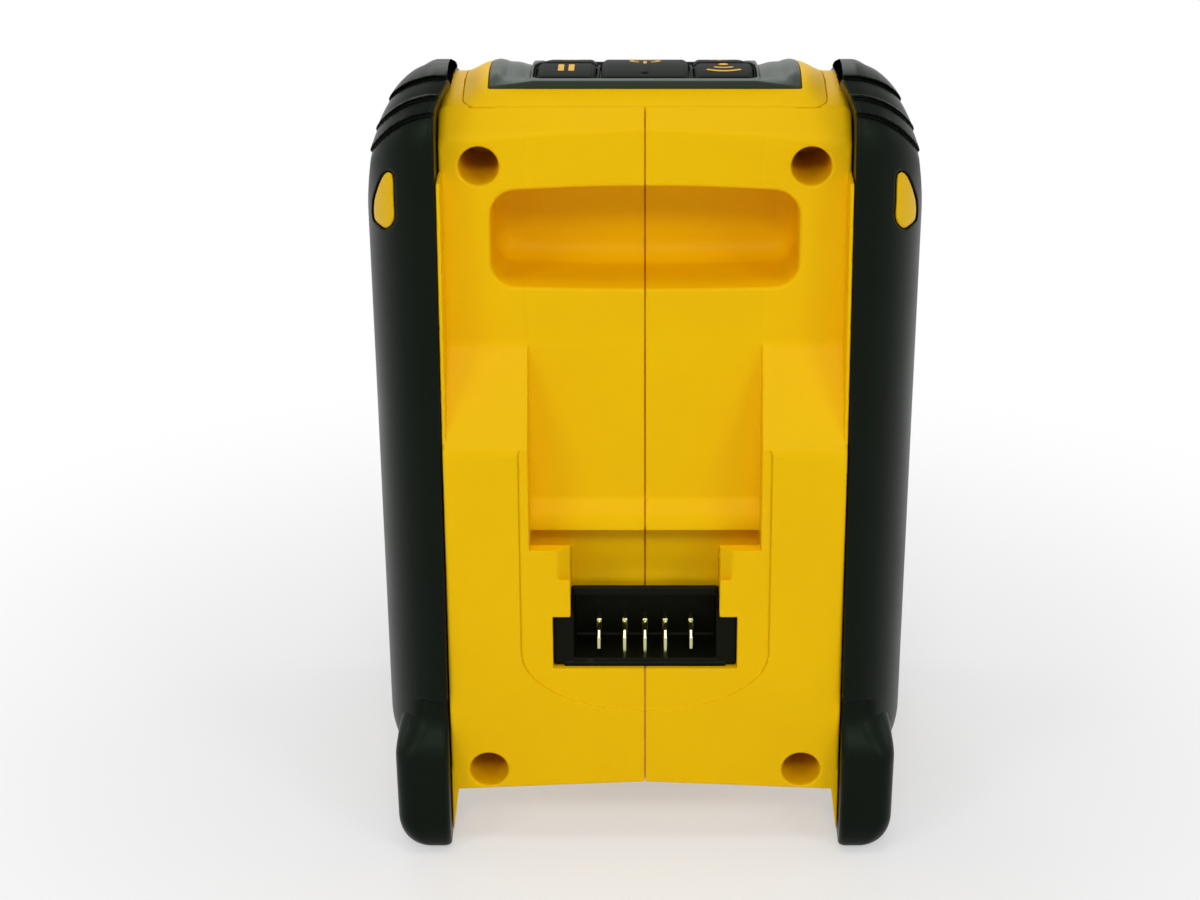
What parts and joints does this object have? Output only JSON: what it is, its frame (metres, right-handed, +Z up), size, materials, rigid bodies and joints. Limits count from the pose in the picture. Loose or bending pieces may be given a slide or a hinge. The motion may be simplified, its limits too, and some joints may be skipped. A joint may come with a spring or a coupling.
{
  "type": "jobsite bluetooth speaker",
  "caption": "Upright wireless speaker with a yellow moulded housing, black rubber bumpers and feet, rubber keys on top and a slide-on battery bay at the rear.",
  "frame": {"origin": "on the ground, in the middle of the footprint of the four feet", "axes": "+Z up, +Y towards the battery side, -Y towards the grille side, +X to the left as seen from the battery side"},
  "size_m": [0.1824, 0.15, 0.2716],
  "materials": {
    "housing": "moulded ABS, fine satin texture",
    "soft_grip": "satin overmoulded rubber",
    "trim": "dark grey-green gloss",
    "keypad": "matt silicone rubber",
    "grille": "black powder coat",
    "inner": "plain moulded",
    "contacts": "nickel plated, bright",
    "terminal": "glass filled nylon, satin",
    "basket": "pressed steel, grey coat",
    "cone": "coated paper",
    "magnet": "zinc passivated steel over ferrite",
    "foam": "foam",
    "board": "glass epoxy with solder mask",
    "parts": "electronic parts",
    "shield": "tinned can",
    "screws": "black zinc"
  },
  "bodies": {
    "speaker": {"rear_shell_left": "housing", "rear_shell_right": "housing", "top_cap": "housing", "front_frame": "housing", "grille": "grille", "baffle": "inner", "side_bumper_left": "soft_grip", "side_bumper_right": "soft_grip", "rear_foot_left": "soft_grip", "rear_foot_right": "soft_grip", "front_foot_left": "soft_grip", "front_foot_right": "soft_grip", "bumper_inlay_left": "housing", "bumper_inlay_right": "housing", "control_panel": "trim", "key_board": "board", "key_switches": "parts", "terminal_block": "terminal", "terminal_blades": "contacts", "upper_driver_basket": "basket", "upper_driver_surround": "foam", "upper_driver_cone": "cone", "upper_driver_magnet": "magnet", "lower_driver_basket": "basket", "lower_driver_surround": "foam", "lower_driver_cone": "cone", "lower_driver_magnet": "magnet", "driver_gaskets": "foam", "amplifier_board": "board", "board_components": "parts", "radio_module": "shield", "housing_screws": "screws", "driver_screws": "screws", "board_screws": "screws"},
    "power_key_body": {"power_key": "keypad"},
    "pause_key_body": {"pause_key": "keypad"},
    "pair_key_body": {"pair_key": "keypad"},
    "volume_up_key_body": {"volume_up_key": "keypad"},
    "volume_down_key_body": {"volume_down_key": "keypad"}
  },
  "joints": [
    {"name": "power_key_press", "type": "slide", "parent": "speaker", "child": "power_key_body", "axis": [0, 0, -1], "range_m": [0, 0.0008], "stiffness_N_per_m": 600, "springref_m": -0.001},
    {"name": "pause_key_press", "type": "slide", "parent": "speaker", "child": "pause_key_body", "axis": [0, 0, -1], "range_m": [0, 0.0008], "stiffness_N_per_m": 600, "springref_m": -0.001},
    {"name": "pair_key_press", "type": "slide", "parent": "speaker", "child": "pair_key_body", "axis": [0, 0, -1], "range_m": [0, 0.0008], "stiffness_N_per_m": 600, "springref_m": -0.001},
    {"name": "volume_up_key_press", "type": "slide", "parent": "speaker", "child": "volume_up_key_body", "axis": [0, 0, -1], "range_m": [0, 0.0008], "stiffness_N_per_m": 600, "springref_m": -0.001},
    {"name": "volume_down_key_press", "type": "slide", "parent": "speaker", "child": "volume_down_key_body", "axis": [0, 0, -1], "range_m": [0, 0.0008], "stiffness_N_per_m": 600, "springref_m": -0.001}
  ]
}
